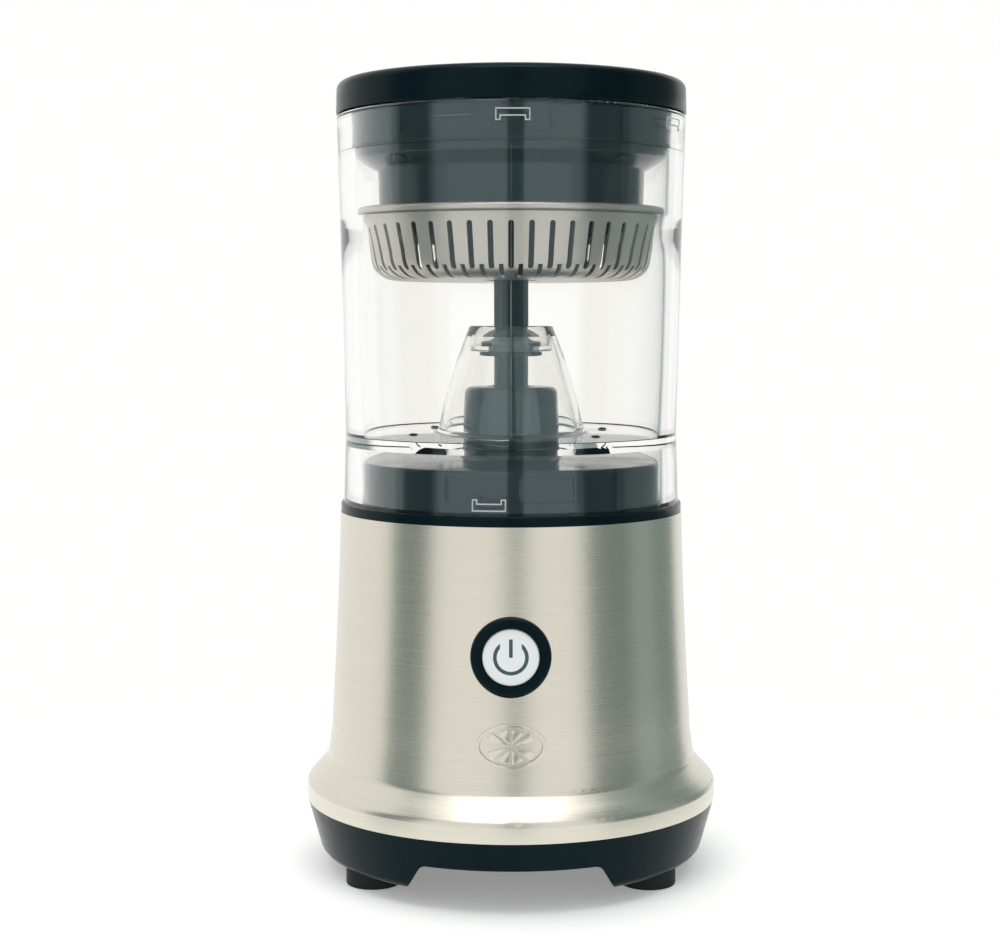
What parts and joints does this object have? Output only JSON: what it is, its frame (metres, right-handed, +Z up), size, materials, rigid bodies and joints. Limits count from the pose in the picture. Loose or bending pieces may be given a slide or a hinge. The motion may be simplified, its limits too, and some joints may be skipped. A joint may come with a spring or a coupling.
{
  "type": "citrus press juicer",
  "caption": "Upright electric citrus juicer: geared motor base, clear twist-lock jar with strainer and ribbed reamer, and a twist-lock lid with a sprung press plate.",
  "frame": {"origin": "on the table, under the middle of the base", "axes": "+Z up along the drive shaft, -Y towards the power button"},
  "size_m": [0.1446, 0.1446, 0.275],
  "materials": {
    "black_gloss": "gloss black plastic with a blue-grey cast",
    "black_satin": "satin black plastic",
    "clear": "clear plastic",
    "brushed_steel": "brushed stainless steel",
    "strainer_steel": "pressed stainless steel",
    "rubber": "matt rubber",
    "silicone": "dark silicone",
    "button_silver": "pale silver satin",
    "symbol_grey": "dark teal grey",
    "screw_steel": "zinc-plated steel",
    "bronze": "sintered bronze",
    "white_gear": "natural acetal",
    "motor_steel": "plated steel",
    "copper": "copper winding",
    "board_green": "circuit board",
    "frame_grey": "glass-filled grey plastic"
  },
  "bodies": {
    "base": {"base_tray": "black_satin", "rubber_feet": "rubber", "tray_screws": "screw_steel", "cord_inlet": "rubber", "steel_housing": "brushed_steel", "inner_frame": "frame_grey", "collar_ring": "black_gloss", "docking_platform": "black_gloss", "platform_screws": "screw_steel", "tower_bush": "bronze", "lip_seal": "rubber", "gear_axles": "screw_steel", "gearbox_plate": "motor_steel", "gearbox_cover": "frame_grey", "gearbox_screws": "screw_steel", "output_bush": "bronze", "motor_can": "motor_steel", "motor_end_cap": "black_satin", "motor_screws": "screw_steel", "button_bezel": "black_gloss", "push_switch": "black_satin", "control_board": "board_green", "board_screws": "screw_steel"},
    "rotor": {"motor_shaft": "screw_steel", "motor_armature": "copper", "motor_pinion": "bronze"},
    "first_gear": {"first_gear": "white_gear"},
    "second_gear": {"second_gear": "white_gear"},
    "drive": {"output_gear": "white_gear", "drive_shaft": "black_satin"},
    "button": {"power_button": "button_silver", "power_symbol": "symbol_grey", "switch_plunger": "black_satin"},
    "shaft_seal": {"shaft_seal": "silicone"},
    "jar": {"jar_tube": "clear", "jar_base": "clear", "strainer": "strainer_steel"},
    "reamer": {"reamer": "black_gloss"},
    "lid_gasket": {"lid_gasket": "silicone"},
    "lid": {"lid_cap": "black_gloss", "press_cup": "black_gloss", "lid_screws": "screw_steel", "press_spring": "screw_steel"},
    "press": {"press_plate": "black_satin", "press_retainer": "screw_steel", "press_screw": "screw_steel"}
  },
  "joints": [
    {"name": "motor_spin", "type": "hinge", "parent": "base", "child": "rotor", "pos_m": [0, 0, 0.09], "axis": [0, 0, 1], "continuous": true},
    {"name": "first_gear_spin", "type": "hinge", "parent": "base", "child": "first_gear", "pos_m": [0.02081, 0.01069, 0.1], "axis": [0, 0, 1], "continuous": true},
    {"name": "second_gear_spin", "type": "hinge", "parent": "base", "child": "second_gear", "pos_m": [0.02282, -0.01172, 0.1], "axis": [0, 0, 1], "continuous": true},
    {"name": "drive_spin", "type": "hinge", "parent": "base", "child": "drive", "pos_m": [0, 0, 0.1], "axis": [0, 0, 1], "continuous": true},
    {"name": "button_press", "type": "slide", "parent": "base", "child": "button", "axis": [0, 1, 0], "range_m": [0, 0.0015], "stiffness_N_per_m": 400, "springref_m": -0.001},
    {"name": "jar_lift", "type": "slide", "parent": "base", "child": "shaft_seal", "axis": [0, 0, 1], "range_m": [0, 0.11]},
    {"name": "jar_twist", "type": "hinge", "parent": "shaft_seal", "child": "jar", "pos_m": [0, 0, 0.15], "axis": [0, 0, 1], "range_deg": [-25, 0]},
    {"name": "reamer_spin", "type": "hinge", "parent": "shaft_seal", "child": "reamer", "pos_m": [0, 0, 0.21], "axis": [0, 0, 1], "continuous": true},
    {"name": "lid_lift", "type": "slide", "parent": "jar", "child": "lid_gasket", "axis": [0, 0, 1], "range_m": [0, 0.06]},
    {"name": "lid_twist", "type": "hinge", "parent": "lid_gasket", "child": "lid", "pos_m": [0, 0, 0.26], "axis": [0, 0, 1], "range_deg": [-25, 0]},
    {"name": "press_slide", "type": "slide", "parent": "lid", "child": "press", "axis": [0, 0, 1], "range_m": [0, 0.008], "stiffness_N_per_m": 600, "springref_m": -0.004, "deforming": ["press_spring"]}
  ],
  "couplings": [
    {"joint": "reamer_spin", "follows": "drive_spin", "ratio": 1},
    {"joint": "second_gear_spin", "follows": "drive_spin", "ratio": -3.3846},
    {"joint": "first_gear_spin", "follows": "drive_spin", "ratio": 10.718},
    {"joint": "motor_spin", "follows": "drive_spin", "ratio": -35.726}
  ]
}
